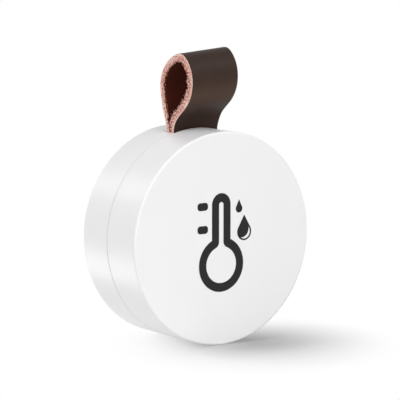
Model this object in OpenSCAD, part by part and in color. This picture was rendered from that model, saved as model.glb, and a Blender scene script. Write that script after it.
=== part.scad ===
// Round temperature and humidity sensor with a leather hanging strap.
//
// The part stands on its rim: +Z is up, the printed face looks along -Y, and
// the origin is on the floor under the middle of the body.
// Modules are drawn in a bench frame and put in place by in_place(): there
// X is to the right, Y is up from the body's axis, and Z runs from the rear
// face (0) to the printed face (body_depth).

/* [Body] */
// Outer diameter of the round body
body_d = 40; // [36:0.5:46]
// Depth of the body from rear face to printed face
body_depth = 17; // [15.8:0.1:21]
// Distance from the rear face to the seam between the two shells
seam_from_rear = 8.05; // [7.6:0.05:8.6]
// Thickness of the rim wall
shell_wall = 1.8; // [1.5:0.1:2.2]
// Thickness of the printed front plate
front_wall = 1.8; // [1.2:0.1:2.4]
// Thickness of the rear plate
rear_wall = 1.6; // [1.2:0.1:2.2]
// Rounding of the outer edges
edge_r = 0.4; // [0.2:0.1:0.8]
// Bevel on both shells along the seam
seam_bevel = 0.12; // [0.05:0.01:0.25]
// Thickness of the rear cover's skirt, which plugs into the front case
skirt_t = 1.2; // [0.9:0.1:1.5]
// Width of the fingernail notch at the foot of the seam
pry_w = 7; // [4:0.5:10]
// Height of the fingernail notch along the body's axis
pry_h = 1.0; // [0.6:0.1:1.4]
// Depth of the fingernail notch into the rim
pry_depth = 0.9; // [0.5:0.1:1.2]

/* [Strap] */
// Width of the leather strap
strap_w = 10.2; // [7:0.1:12]
// Thickness of the leather
leather_t = 1.4; // [1.1:0.1:1.6]
// Distance of the strap's middle behind the seam
strap_behind_seam = 0.95; // [0.8:0.05:1.4]
// Height of the loop's crown above the top of the rim
crown_rise = 14.5; // [12:0.5:18]
// Reach of the crown in front of the strap's middle
crown_lean = 3.0; // [1:0.1:4]
// Outermost reach of the loop in front of the strap's middle
front_bulge = 7.1; // [5:0.1:9]
// Height of the front bulge above the top of the rim
front_bulge_rise = 9.3; // [8:0.1:11]
// Outermost reach of the loop behind the strap's middle
rear_bulge = 3.2; // [2.5:0.1:6]
// Height of the rear bulge above the top of the rim
rear_bulge_rise = 8.0; // [7:0.1:10]
// Height of the strap's bending line above the top of the rim
flex_rise = 1.2; // [1:0.1:2]
// Diameter of the steel pin through the strap's tails
pin_d = 2.0; // [1.5:0.1:2.4]
// Space between the tails' ends and the cell holder
tail_gap = 0.8; // [0.4:0.1:1.5]

/* [Printed mark] */
// Thickness of the ink
ink_t = 0.05; // [0.03:0.01:0.1]
// Radius of the thermometer's bulb
bulb_r = 5.1; // [4:0.05:6]
// Width of the thermometer's drawn line
mark_line = 1.65; // [1.2:0.05:1.8]
// Rounding inside the thermometer where its stem meets its bulb
mark_corner = 1.2; // [0.4:0.1:1.5]
// Half the width of the thermometer's stem
stem_r = 2.12; // [1.9:0.02:2.4]
// Height of the stem's top above the bulb's centre
stem_rise = 13.4; // [10:0.1:14]
// Distance of the bulb's centre below the body's axis
bulb_drop = 4.8; // [4:0.05:6]
// Distance of the thermometer to the left of the body's axis
stem_left = 0.55; // [0:0.05:1]
// Length of the two scale ticks
tick_len = 2.35; // [1.5:0.05:2.6]
// Width of the two scale ticks
tick_w = 1.45; // [1:0.05:1.6]
// Radius of the large water drop
drop_r = 1.62; // [1.2:0.01:1.8]
// Radius of the small water drop
droplet_r = 0.75; // [0.5:0.01:0.9]

/* [Cell] */
// Diameter of the coin cell
cell_d = 24.5; // [20:0.5:26]
// Thickness of the coin cell
cell_h = 7.7; // [7.4:0.1:8]
// Space between the rear plate and the coin cell
cell_rear_gap = 1.1; // [0.9:0.1:1.3]
// Space between the coin cell's cap and the board, taken by the contact leaf
contact_gap = 0.8; // [0.6:0.1:1]
// Wall of the cell holder
holder_wall = 1.0; // [0.8:0.1:1.2]
// Thickness of the contact springs
contact_t = 0.25; // [0.2:0.05:0.35]

/* [Board] */
// Thickness of the circuit board
board_t = 1.0; // [0.8:0.1:1.6]
// Space between the board's edge and the rim wall
board_gap = 0.6; // [0.4:0.1:1]
// Direction of the two board screws, above the horizontal, in degrees
screw_angle = 25; // [15:1:32]
// Diameter of the board screws' heads
screw_head_d = 3.2; // [2.6:0.1:3.6]
// Diameter of the board screws' shanks
screw_d = 1.6; // [1.4:0.1:1.8]
// Length of the board screws below their heads
screw_len = 3.5; // [3:0.1:4.4]

/* [Pairing switch] */
// Direction of the pairing switch, above the horizontal, in degrees
switch_angle = 55; // [50:1:58]
// Width of the pairing switch's square body
switch_w = 3.0; // [2.6:0.1:3.4]
// Height of the pairing switch's body
switch_h = 1.5; // [1.2:0.1:2]
// Diameter of the switch's plunger
plunger_d = 1.5; // [1.2:0.1:1.8]
// Height of the plunger above the switch's body
plunger_rise = 0.6; // [0.4:0.1:0.8]
// Diameter of the pinhole that leads to the plunger
pinhole_d = 1.4; // [1.1:0.1:1.6]

/* [Vent] */
// Number of vent holes in the rim
vent_count = 5; // [1:1:7]
// Diameter of one vent hole
vent_d = 1.0; // [0.6:0.1:1.2]
// Distance between the vent holes along the rim
vent_pitch = 1.9; // [1.6:0.1:2.6]
// Thickness of the vent membrane
membrane_t = 0.3; // [0.2:0.05:0.5]
// Width of the membrane's glued edge round the vent holes
membrane_lap = 0.3; // [0.2:0.05:0.6]

/* [Fits] */
// Running clearance between the skirt and the front case
skirt_fit = 0.06; // [0.03:0.01:0.12]
// Clearance of a part that lies in its seat
seat_fit = 0.05; // [0.02:0.01:0.1]
// Clearance round the strap in its slot
slot_fit = 0.1; // [0.05:0.01:0.2]
// Clearance of parts that only pass each other
pass_gap = 0.2; // [0.15:0.05:0.4]

/* [Hidden] */
$fn = 96;

// A cutter runs this far past the faces that it cuts
over = 1;
steps = 12;

// Radii of the shells
body_r = body_d / 2;
case_in_r = body_r - shell_wall;
skirt_out_r = case_in_r - skirt_fit;
skirt_in_r = skirt_out_r - skirt_t;

// Levels along the body's axis, from the rear face
cell_z = rear_wall + cell_rear_gap;
cap_z = cell_z + cell_h;
board_z = cap_z + contact_gap;
board_front_z = board_z + board_t;
front_in_z = body_depth - front_wall;
hook_t = 0.75;
hook_z = board_z - seat_fit - hook_t;
skirt_end_z = hook_z - pass_gap;
step_z = seam_from_rear - 3;

// Cell holder: the cell lies as low as the skirt lets it, which leaves the top to the strap
cell_fit = 0.25;
cell_r = cell_d / 2;
holder_in_r = cell_r + cell_fit;
holder_r = holder_in_r + holder_wall;
cell_drop = skirt_in_r - holder_r - pass_gap;
holder_top = holder_r - cell_drop;
shoulder_drop = 0.35;
shoulder_z = cap_z - shoulder_drop;
cap_r = cell_r - 2.3;
gasket_t = 0.55;
cap_seat_depth = 0.5;
clip_w = 5;
// The clip touches the cell at this height, bends over this length and stands off the cell at its ends
clip_touch_rise = 3;
clip_bend = 1;
clip_spring = 0.55;
clip_foot = 1.6;
touch_gap = 0.02;
leaf_w = 4;
leaf_len = 13;
leaf_foot = 3;
leaf_flat = 3;
// Part of the cell's side that the holder leaves open at the rear
holder_open = 2;
holder_window = 2;
tab_w = 4.2;

// Strap
strap_z = seam_from_rear - strap_behind_seam;
strap_front_z = strap_z + leather_t;
strap_rear_z = strap_z - leather_t;
slot_half_w = strap_w / 2 + slot_fit;
slot_rear_z = strap_rear_z - slot_fit;
slot_front_z = strap_front_z + slot_fit;
tail_end = holder_top + tail_gap;
pin_y = (tail_end + case_in_r) / 2;
pin_r = pin_d / 2;
anchor_wall = 1.3;
anchor_r = pin_r + anchor_wall;
pin_front_z = board_front_z + 1;
pin_rear_z = strap_rear_z - 0.9;
flex_y = body_r + flex_rise;

// Board and what holds it
board_r = case_in_r - board_gap;
screw_boss_wall = 1.2;
screw_boss_r = screw_d / 2 + screw_boss_wall;
screw_head_h = 1.1;
rest_r = 1.1;
hook_w = 3;
hook_angle = 22;
hook_reach = case_in_r - board_r + 0.6;
sensor_w = 2.5;
sensor_x = board_r - sensor_w / 2 - 1;
chip_w = 6;
chip_h = 0.85;
chip_place = [-2.5, 0.5];
crystal_len = 2.5;
crystal_w = 2;
crystal_h = 0.55;
antenna_angle = 128;
antenna_size = [3.6, 1.6, 1.2];
antenna_place = polar(board_r - 2, antenna_angle);
cap_len = 0.4;
membrane_h = vent_d + 2 * membrane_lap;
vent_mid_z = board_front_z + seat_fit + membrane_h / 2;
// Angle between neighbouring vent holes, in degrees
vent_step = vent_pitch / body_r * 180 / PI;
guide_wall = 0.9;
guide_d = pinhole_d + 2 * guide_wall;
switch_room = max(switch_w, guide_d) + 2 * pass_gap;
plunger_depth = 0.8;
plunger_travel = 0.25;

// Distance from the body's axis to the cell's side, in a direction given in degrees
function cell_edge(angle) =
    sqrt(cell_r * cell_r - pow(cell_drop * cos(angle), 2)) - cell_drop * sin(angle);
// Middle of the space between the cell and the skirt, in that direction
function crescent(angle) = (cell_edge(angle) + skirt_in_r) / 2;
function polar(radius, angle) = [radius * cos(angle), radius * sin(angle)];

screw_places = [for (angle = [screw_angle, 180 - screw_angle]) polar(crescent(angle), angle)];
switch_place = polar(crescent(switch_angle), switch_angle);
rest_places = [for (side = [-1, 1]) polar(board_r - rest_r - 0.6, 270 + side * hook_angle)];

// Points along one cubic curve, without its last point
function bezier(a, b, c, d) = [
    for (i = [0 : steps - 1])
        let (t = i / steps, s = 1 - t)
        s * s * s * a + 3 * s * s * t * b + 3 * s * t * t * c + t * t * t * d
];
function unit(v) = v / norm(v);
// Left-hand normal of a curve at point i
function normal_at(points, i) =
    let (
        before = points[max(i - 1, 0)],
        after = points[min(i + 1, len(points) - 1)],
        along = unit(after - before)
    )
    [-along[1], along[0]];

// Middle line of the strap's loop: [reach in front of the strap's middle, height above the rim]
half_t = leather_t / 2;
foot_front = [half_t, flex_rise];
foot_rear = [-half_t, flex_rise];
bulge_front = [front_bulge - half_t, front_bulge_rise];
crown = [crown_lean, crown_rise - half_t];
bulge_rear = [half_t - rear_bulge, rear_bulge_rise];
// Directions in which the two layers leave the rim, from the vertical, in degrees
foot_lean_front = 28;
foot_lean_rear = 13;
loop_line = concat(
    bezier(foot_front, foot_front + 2.0 * [sin(foot_lean_front), cos(foot_lean_front)],
           bulge_front - [0, 4.5], bulge_front),
    bezier(bulge_front, bulge_front + [0, 2.4], crown + [2.0, 0], crown),
    bezier(crown, crown - [3.1, 0], bulge_rear + [0, 3.1], bulge_rear),
    bezier(bulge_rear, bulge_rear - [0, 2.5],
           foot_rear + 2.5 * [-sin(foot_lean_rear), cos(foot_lean_rear)], foot_rear),
    [foot_rear]
);

// Puts a piece drawn in the bench frame where it belongs
module in_place() {
    translate([0, body_depth / 2, body_r]) rotate([90, 0, 0]) children();
}

// Block centred on X and Y that stands on z = 0
module chip_block(size) {
    translate([-size[0] / 2, -size[1] / 2, 0]) cube(size);
}

// Ring that stands on z = 0
module ring(r_out, r_in, h) {
    difference() {
        cylinder(r = r_out, h = h);
        translate([0, 0, -over]) cylinder(r = r_in, h = h + 2 * over);
    }
}

// Flat slot outline with round ends along Y
module slot_outline(w, len) {
    square([w, len - w], center = true);
    for (side = [-1, 1]) translate([0, side * (len - w) / 2]) circle(d = w);
}

// Half section of a cup: a plate at y = 0 with an outer rounding, and a wall up to h
module cup_section(r_out, r_in, plate, h, rounding, bevel) {
    difference() {
        union() {
            translate([0, rounding]) square([r_out - rounding, plate - rounding]);
            square([r_out - rounding, plate]);
            translate([r_out - rounding, rounding]) circle(r = rounding);
            translate([r_in, rounding]) square([r_out - r_in, h - rounding]);
        }
        translate([r_out, h]) rotate(45) square(bevel * sqrt(2), center = true);
    }
}

// Space that the strap takes through the rim, from one level to another
module strap_slot(inner_r, z_low, z_high) {
    y_low = sqrt(inner_r * inner_r - slot_half_w * slot_half_w) - pass_gap;
    translate([-slot_half_w, y_low, z_low])
        cube([2 * slot_half_w, body_r - y_low + over, z_high - z_low]);
}

module front_case() color("whitesmoke") in_place() {
    boss_end_z = strap_front_z + seat_fit;
    difference() {
        union() {
            translate([0, 0, body_depth]) mirror([0, 0, 1])
                rotate_extrude() cup_section(
                    body_r, case_in_r, front_wall, body_depth - seam_from_rear, edge_r, seam_bevel);
            // Bosses for the board screws
            for (place = screw_places) translate([place[0], place[1], board_front_z])
                cylinder(r = screw_boss_r, h = front_in_z - board_front_z + seat_fit);
            // Rests under the board's lower edge
            for (place = rest_places) translate([place[0], place[1], board_front_z])
                cylinder(r = rest_r, h = front_in_z - board_front_z + seat_fit);
            // Hooks that hold the board's lower edge down on its rests
            intersection() {
                translate([0, 0, hook_z]) ring(case_in_r + seat_fit, case_in_r - hook_reach, hook_t);
                for (side = [-1, 1]) rotate(270 + side * hook_angle)
                    translate([0, -hook_w / 2, hook_z - over]) cube([body_r, hook_w, hook_t + 2 * over]);
            }
            // Anchor boss for the strap's pin, tied to the rim by a rib
            translate([0, pin_y, boss_end_z])
                cylinder(r = anchor_r, h = front_in_z - boss_end_z + seat_fit);
            translate([-anchor_wall / 2, pin_y, slot_front_z + seat_fit])
                cube([anchor_wall, case_in_r - pin_y + seat_fit, front_in_z - slot_front_z]);
        }
        // Pilot holes of the board screws
        for (place = screw_places) translate([place[0], place[1], board_front_z - over])
            cylinder(d = screw_d, h = over + screw_len - board_t + pass_gap);
        // Seat of the strap's pin
        translate([0, pin_y, boss_end_z - over])
            cylinder(r = pin_r, h = over + pin_front_z - boss_end_z);
        strap_slot(case_in_r, seam_from_rear - over, slot_front_z);
        // Vent holes on the right-hand side of the rim
        for (i = [0 : vent_count - 1]) rotate((i - (vent_count - 1) / 2) * vent_step)
            translate([case_in_r - over, 0, vent_mid_z]) rotate([0, 90, 0])
                cylinder(d = vent_d, h = shell_wall + 2 * over, $fn = 32);
    }
}

module rear_cover() color("whitesmoke") in_place() {
    guide_end_z = board_z - switch_h - plunger_rise - pass_gap;
    clamp_wall = 1.1;
    clamp_end_z = strap_rear_z - seat_fit;
    difference() {
        union() {
            rotate_extrude()
                cup_section(body_r, case_in_r, rear_wall, seam_from_rear, edge_r, seam_bevel);
            // Skirt that plugs into the front case, on a step inside the rim
            translate([0, 0, step_z])
                ring(case_in_r + seat_fit, skirt_in_r, seam_from_rear - seam_bevel - step_z);
            translate([0, 0, step_z]) ring(skirt_out_r, skirt_in_r, skirt_end_z - step_z);
            // Guide tube behind the pinhole
            translate([switch_place[0], switch_place[1], rear_wall - seat_fit])
                cylinder(d = guide_d, h = guide_end_z - rear_wall + seat_fit);
            // Boss that clamps the strap's tails and takes the pin's end
            translate([0, pin_y, rear_wall - seat_fit])
                cylinder(r = pin_r + pass_gap + clamp_wall, h = clamp_end_z - rear_wall + seat_fit);
        }
        translate([switch_place[0], switch_place[1], -over])
            cylinder(d = pinhole_d, h = guide_end_z + 2 * over);
        translate([0, pin_y, rear_wall]) cylinder(r = pin_r + pass_gap, h = clamp_end_z);
        strap_slot(skirt_in_r, slot_rear_z, skirt_end_z + over);
        // Fingernail notch at the foot of the seam
        translate([-pry_w / 2, -body_r - over, seam_from_rear - pry_h])
            cube([pry_w, over + pry_depth, pry_h + over]);
    }
}

// Water drop: a circle with a pointed top
module drop_outline(r, rise) {
    touch = acos(r / rise);
    union() {
        circle(r = r);
        polygon([[0, rise], polar(r, 90 + touch), [0, 0], polar(r, 90 - touch)]);
    }
}

module tick_outline() {
    corner = 0.6;
    square([tick_len, tick_w - 2 * corner], center = true);
    square([tick_len - 2 * corner, tick_w], center = true);
    for (sx = [-1, 1], sy = [-1, 1])
        translate([sx * (tick_len / 2 - corner), sy * (tick_w / 2 - corner)]) circle(r = corner);
}

module thermometer_outline() {
    hollow_r = stem_r - mark_line + 0.05;
    hollow_bulb_r = bulb_r - mark_line;
    // The hollow widens into the bulb over two round corners
    corner_x = hollow_r + mark_corner;
    corner_y = sqrt(pow(hollow_bulb_r + mark_corner, 2) - corner_x * corner_x);
    difference() {
        union() {
            circle(r = bulb_r);
            translate([-stem_r, 0]) square([2 * stem_r, stem_rise - stem_r]);
            translate([0, stem_rise - stem_r]) circle(r = stem_r);
        }
        circle(r = hollow_bulb_r);
        difference() {
            polygon([[0, 0], [corner_x, corner_y], [-corner_x, corner_y]]);
            for (side = [-1, 1]) translate([side * corner_x, corner_y]) circle(r = mark_corner);
        }
        translate([-hollow_r, 0]) square([2 * hollow_r, stem_rise - mark_line - hollow_r]);
        translate([0, stem_rise - mark_line - hollow_r]) circle(r = hollow_r);
    }
}

module face_print() color("#333333") in_place() translate([0, 0, body_depth]) linear_extrude(ink_t) {
    tick_gap = 0.95;
    drop_gap = 1.6;
    stem_top = stem_rise - bulb_drop;
    tick_x = -stem_left - stem_r - tick_gap - tick_len / 2;
    drop_x = -stem_left + stem_r + drop_gap + drop_r;
    drop_y = bulb_drop - 3.85;
    drop_rise = 2 * drop_r - 0.06;
    translate([-stem_left, -bulb_drop]) thermometer_outline();
    for (down = [2.25, 6.55]) translate([tick_x, stem_top - down]) tick_outline();
    // The large drop has a sickle-shaped glint
    difference() {
        translate([drop_x, drop_y]) drop_outline(drop_r, drop_rise);
        difference() {
            translate([drop_x + 0.02, drop_y - 0.02]) circle(r = drop_r - 0.3);
            translate([drop_x - 0.6, drop_y + 0.55]) circle(r = drop_r - 0.02);
        }
    }
    translate([drop_x - drop_r + 0.4, stem_top - 3.2]) drop_outline(droplet_r, 2 * droplet_r + 0.2);
}

// Leather loop outside the rim. Its round foot turns on the bending line.
module strap_loop() color("#3b2f2a") in_place() {
    side_a = [for (i = [0 : len(loop_line) - 1]) loop_line[i] + half_t * normal_at(loop_line, i)];
    side_b = [for (i = [0 : len(loop_line) - 1]) loop_line[i] - half_t * normal_at(loop_line, i)];
    last = len(loop_line) - 1;
    translate([strap_w / 2, body_r, strap_z]) rotate([0, -90, 0]) {
        linear_extrude(strap_w) polygon(concat(side_a, [for (i = [last : -1 : 0]) side_b[i]]));
        translate([0, flex_rise, 0]) intersection() {
            cylinder(r = leather_t, h = strap_w);
            translate([-leather_t, -leather_t, 0])
                cube([2 * leather_t, leather_t + half_t / 2, strap_w]);
        }
    }
}

// The strap's two tails, which lie flat on each other inside the rim
module strap_tails() color("#3b2f2a") in_place() difference() {
    tail_top = flex_y - leather_t - seat_fit;
    translate([-strap_w / 2, tail_end, strap_rear_z])
        cube([strap_w, tail_top - tail_end, 2 * leather_t]);
    translate([0, pin_y, strap_rear_z - over])
        cylinder(r = pin_r + seat_fit, h = 2 * leather_t + 2 * over);
}

module strap_pin() color("silver") in_place() translate([0, pin_y, pin_rear_z]) {
    cylinder(r = pin_r, h = pin_front_z - pin_rear_z);
}

module circuit_board() color("#1f5a3a") in_place() translate([0, 0, board_z]) difference() {
    notch_r = anchor_r + pass_gap;
    cylinder(r = board_r, h = board_t);
    // Notch round the strap's anchor boss
    translate([0, pin_y, -over]) cylinder(r = notch_r, h = board_t + 2 * over);
    translate([-notch_r, pin_y, -over]) cube([2 * notch_r, body_r, board_t + 2 * over]);
    for (place = screw_places) translate([place[0], place[1], -over])
        cylinder(r = screw_d / 2 + pass_gap, h = board_t + 2 * over);
    // Slot that keeps the board's heat away from the climate sensor
    translate([sensor_x - sensor_w / 2 - 0.9, 0, -over])
        linear_extrude(board_t + 2 * over) slot_outline(0.8, 5);
}

module board_screws() color("silver") in_place()
    for (place = screw_places) translate([place[0], place[1], board_z - screw_head_h]) difference() {
        union() {
            cylinder(d = screw_head_d, h = screw_head_h);
            cylinder(d = screw_d, h = screw_head_h + screw_len);
        }
        for (turn = [0, 90]) rotate(turn) translate([-0.9, -0.2, -over]) cube([1.8, 0.4, over + 0.6]);
    }

// Puts a chip on the board's front side
module on_board(place, turn = 0) {
    in_place() translate([place[0], place[1], board_front_z]) rotate(turn) children();
}

module radio_chip() color("#26282b") on_board(chip_place) chip_block([chip_w, chip_w, chip_h]);

module radio_crystal() color("silver") on_board(chip_place - [chip_w / 2 + crystal_w + 0.7, 1], 90)
    chip_block([crystal_len, crystal_w, crystal_h]);

module clock_crystal() color("silver") on_board(chip_place - [0, chip_w / 2 + crystal_len], 0)
    chip_block([crystal_len * 1.28, crystal_w * 0.75, crystal_h * 1.3]);

module chip_antenna() color("#dfe6e8") on_board(antenna_place, antenna_angle - 90)
    chip_block([antenna_size[0] - 2 * cap_len, antenna_size[1], antenna_size[2]]);

module antenna_caps() color("silver") on_board(antenna_place, antenna_angle - 90)
    for (side = [-1, 1]) translate([side * (antenna_size[0] - cap_len) / 2, 0, 0])
        chip_block([cap_len, antenna_size[1], antenna_size[2]]);

// Climate sensor with its open measuring port
module climate_sensor() color("#2b2d30") on_board([sensor_x, 0]) difference() {
    chip_block([sensor_w, sensor_w, 0.9]);
    translate([0, 0, 0.5]) cylinder(d = 1.1, h = over);
}

module vent_membrane() color("white") in_place() {
    reach = vent_count * vent_step / 2;
    translate([0, 0, vent_mid_z - membrane_h / 2]) rotate(-reach) rotate_extrude(angle = 2 * reach)
        translate([case_in_r - membrane_t, 0]) square([membrane_t, membrane_h]);
}

led_place = [5.5, -8.5];
led_base = [1.6, 0.8, 0.35];
led_lens = [1.0, 0.8, 0.3];
module status_led() color("#f4f1d8") on_board(led_place) {
    chip_block(led_base);
    translate([0, 0, led_base[2]]) chip_block(led_lens);
}

// Small capacitors stand round the radio chip, and a large one buffers the cell: [x, y, turn]
small_cap = [1.0, 0.5, 0.5];
large_cap = [3.2, 1.6, 1.5];
end_len = 0.25;
small_cap_places = [
    [-7.2, 3.4, 90], [-7.2, 5.2, 90], [-4.6, 4.9, 0], [-0.4, 4.9, 0],
    [1.8, 2.2, 90], [1.8, -1.2, 90], [-5.4, -5.4, 90], [9.8, 2.6, 0],
];
large_cap_place = [5.6, -3.6, 90];

module cap_body(size) chip_block([size[0] - 2 * end_len, size[1], size[2]]);
module cap_ends(size) for (side = [-1, 1])
    translate([side * (size[0] - end_len) / 2, 0, 0]) chip_block([end_len, size[1], size[2]]);

module capacitors() color("#b59a78") {
    for (p = small_cap_places) on_board([p[0], p[1]], p[2]) cap_body(small_cap);
    on_board([large_cap_place[0], large_cap_place[1]], large_cap_place[2]) cap_body(large_cap);
}

module capacitor_caps() color("silver") {
    for (p = small_cap_places) on_board([p[0], p[1]], p[2]) cap_ends(small_cap);
    on_board([large_cap_place[0], large_cap_place[1]], large_cap_place[2]) cap_ends(large_cap);
}

resistor_places = [[9.8, -2.6, 0], [9.8, -4.2, 0], [3.4, -8.5, 90], [-9.6, 6.4, 45], [-8.6, 8.0, 45]];
module resistors() color("#1d1d1f")
    for (p = resistor_places) on_board([p[0], p[1]], p[2]) chip_block([1.0, 0.5, 0.35]);

// Pairing switch behind the board, pressed through the pinhole
module pairing_switch() color("silver") in_place()
    translate([switch_place[0], switch_place[1], board_z - switch_h]) difference() {
        rotate(switch_angle) chip_block([switch_w, switch_w, switch_h]);
        translate([0, 0, -over]) cylinder(d = plunger_d + 2 * seat_fit, h = over + plunger_depth);
    }

module pairing_button() color("#202124") in_place()
    translate([switch_place[0], switch_place[1], board_z - switch_h - plunger_rise])
        cylinder(d = plunger_d, h = plunger_rise + plunger_depth - plunger_travel - seat_fit);

// Ring-shaped holder with a ledge under the cell and three hooks over its rear edge
module battery_holder() color("#1c1d1f") in_place() translate([0, -cell_drop, 0]) {
    wall_z = cell_z + holder_open;
    ledge_z = shoulder_z + seat_fit;
    hook_over = 0.6;
    tab_t = 0.6;
    tab_z = cell_z - seat_fit - tab_t;
    difference() {
        union() {
            translate([0, 0, wall_z]) ring(holder_r, holder_in_r, board_z - wall_z);
            translate([0, 0, ledge_z]) ring(holder_r, cap_r + 0.8, board_z - ledge_z);
            intersection() {
                translate([0, 0, tab_z]) union() {
                    ring(holder_r, holder_in_r, wall_z - tab_z + over);
                    ring(holder_r, cell_r - hook_over, tab_t);
                }
                for (turn = [30, 150, 270]) rotate(turn) translate([0, -tab_w / 2, tab_z - over])
                    cube([holder_r + over, tab_w, board_z]);
            }
        }
        // Reliefs round the screw heads, and round the pairing switch and its guide tube
        translate([0, cell_drop, 0]) {
            for (place = screw_places) translate([place[0], place[1], board_z - screw_head_h - pass_gap])
                cylinder(d = screw_head_d + 2 * pass_gap, h = screw_head_h + pass_gap + over);
            translate([switch_place[0], switch_place[1], 0]) rotate(switch_angle)
                chip_block([switch_room, switch_room, board_z + over]);
        }
        // Window for the positive contact
        translate([-holder_r - over, -clip_w / 2 - pass_gap, wall_z - over])
            cube([holder_wall + holder_window + over, clip_w + 2 * pass_gap, board_z - wall_z + 2 * over]);
    }
}

// Spring clip soldered to the board, which touches the side of the cell
module positive_contact() color("gold") in_place() translate([0, -cell_drop, 0]) {
    tip_z = cell_z + clip_touch_rise;
    touch_z = tip_z + clip_bend;
    touch_x = cell_r + touch_gap;
    stand_x = cell_r + clip_spring;
    foot_x = holder_r + clip_foot;
    translate([0, clip_w / 2, 0]) rotate([90, 0, 0]) linear_extrude(clip_w) mirror([1, 0]) polygon([
        [foot_x, board_z], [stand_x, board_z], [touch_x, touch_z], [stand_x, tip_z],
        [stand_x + contact_t, tip_z], [touch_x + contact_t, touch_z],
        [stand_x + contact_t, board_z - contact_t], [foot_x, board_z - contact_t],
    ]);
}

// Leaf spring soldered to the board, which presses on the cell's cap
module negative_contact() color("gold") in_place() translate([0, -cell_drop, 0]) {
    mid = leaf_len / 2;
    low_z = cap_z + touch_gap;
    translate([0, -leaf_w / 2, 0]) rotate([90, 0, 0]) mirror([0, 0, 1]) linear_extrude(leaf_w) polygon([
        [-mid, board_z], [leaf_foot - mid, board_z],
        [mid - leaf_flat, low_z + contact_t], [mid, low_z + contact_t],
        [mid, low_z], [mid - leaf_flat, low_z],
        [leaf_foot - mid, board_z - contact_t], [-mid, board_z - contact_t],
    ]);
}

// Coin cell: its can with a rounded rear edge, a gasket and the negative cap
module coin_cell() color("#c9ccd0") in_place() translate([0, -cell_drop, cell_z]) {
    can_h = cell_h - shoulder_drop;
    can_edge = 0.6;
    difference() {
        rotate_extrude() cup_section(cell_r, cap_r, can_h, can_h, can_edge, can_edge / 2);
        translate([0, 0, can_h - cap_seat_depth])
            cylinder(r = cap_r + gasket_t, h = cap_seat_depth + over);
    }
}

module coin_cell_gasket() color("#2e2e30") in_place()
    translate([0, -cell_drop, shoulder_z - cap_seat_depth]) ring(cap_r + gasket_t, cap_r, cap_seat_depth);

module coin_cell_cap() color("#d6d8db") in_place() translate([0, -cell_drop, cap_z]) mirror([0, 0, 1]) {
    cup_h = shoulder_drop + cap_seat_depth;
    rotate_extrude() cup_section(cap_r, 1, cup_h, cup_h, 0.3, 0.05);
}

front_case();
rear_cover();
face_print();
strap_loop();
strap_tails();
strap_pin();
circuit_board();
board_screws();
radio_chip();
radio_crystal();
clock_crystal();
chip_antenna();
antenna_caps();
climate_sensor();
vent_membrane();
status_led();
capacitors();
capacitor_caps();
resistors();
pairing_switch();
pairing_button();
battery_holder();
positive_contact();
negative_contact();
coin_cell();
coin_cell_gasket();
coin_cell_cap();
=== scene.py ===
"""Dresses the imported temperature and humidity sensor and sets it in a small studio.

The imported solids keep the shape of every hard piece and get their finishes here. The leather strap with its
frayed edge, the copper and solder of the circuit board and the mark stamped in the cell are modelled as
pieces of their own, in the same frame and in metres.
"""
import logging
import math
import random
from dataclasses import dataclass
from enum import Enum
from typing import Any

import bmesh
import bpy
from mathutils import Matrix, Vector, geometry, noise


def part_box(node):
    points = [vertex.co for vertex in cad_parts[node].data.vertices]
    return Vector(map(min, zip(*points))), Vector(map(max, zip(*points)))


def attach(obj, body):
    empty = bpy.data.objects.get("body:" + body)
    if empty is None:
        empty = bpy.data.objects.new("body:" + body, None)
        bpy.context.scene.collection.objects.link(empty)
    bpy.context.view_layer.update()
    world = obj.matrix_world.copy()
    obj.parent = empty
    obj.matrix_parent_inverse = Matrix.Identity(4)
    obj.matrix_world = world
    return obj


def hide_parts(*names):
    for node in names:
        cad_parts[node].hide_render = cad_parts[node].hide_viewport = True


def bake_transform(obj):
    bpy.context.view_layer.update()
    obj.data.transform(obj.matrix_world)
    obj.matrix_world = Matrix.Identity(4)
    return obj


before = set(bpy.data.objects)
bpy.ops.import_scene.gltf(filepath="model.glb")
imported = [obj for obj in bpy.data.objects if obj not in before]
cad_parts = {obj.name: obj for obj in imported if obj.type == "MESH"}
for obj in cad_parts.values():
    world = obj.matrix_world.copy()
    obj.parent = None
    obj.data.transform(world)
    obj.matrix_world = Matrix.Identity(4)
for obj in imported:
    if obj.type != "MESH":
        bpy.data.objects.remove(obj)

LOG = logging.getLogger("sensor")
MM = 0.001
WAVE_LENGTH = 2 * math.pi / 20  # of the wave texture at a scale of one
HAIR = 1e-6  # tells two places apart, in metres
PLY_HAIR = 1e-3  # tells two places through the leather apart, as a share of its thickness
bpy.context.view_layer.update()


def linear(code: str) -> tuple[float, float, float, float]:
    """Turns an sRGB hex colour into the linear colour that a shader takes.

    Args:
        code: six hex digits.

    Returns:
        Red, green, blue and an alpha of one.
    """
    parts = [int(code[i:i + 2], 16) / 255 for i in (0, 2, 4)]
    red, green, blue = [c / 12.92 if c <= 0.04045 else ((c + 0.055) / 1.055) ** 2.4 for c in parts]
    return red, green, blue, 1.0


def per_metre(size: float) -> float:
    """Gives the texture scale at which one feature is this many millimetres wide."""
    return 1 / (size * MM)


def add_node(tree: bpy.types.NodeTree, kind: str, inputs: dict[Any, Any] | None = None,
             **settings: Any) -> bpy.types.Node:
    """Adds a node, sets its properties, and fills or links its inputs.

    Args:
        tree: node tree that gets the node.
        kind: Blender's name of the node type.
        inputs: socket name or number, with a constant or another node's output.
        **settings: properties of the node.

    Returns:
        The new node.
    """
    node = tree.nodes.new(kind)
    for key, value in settings.items():
        setattr(node, key, value)
    for key, value in (inputs or {}).items():
        if isinstance(value, bpy.types.NodeSocket):
            tree.links.new(value, node.inputs[key])
        else:
            node.inputs[key].default_value = value
    return node


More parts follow.
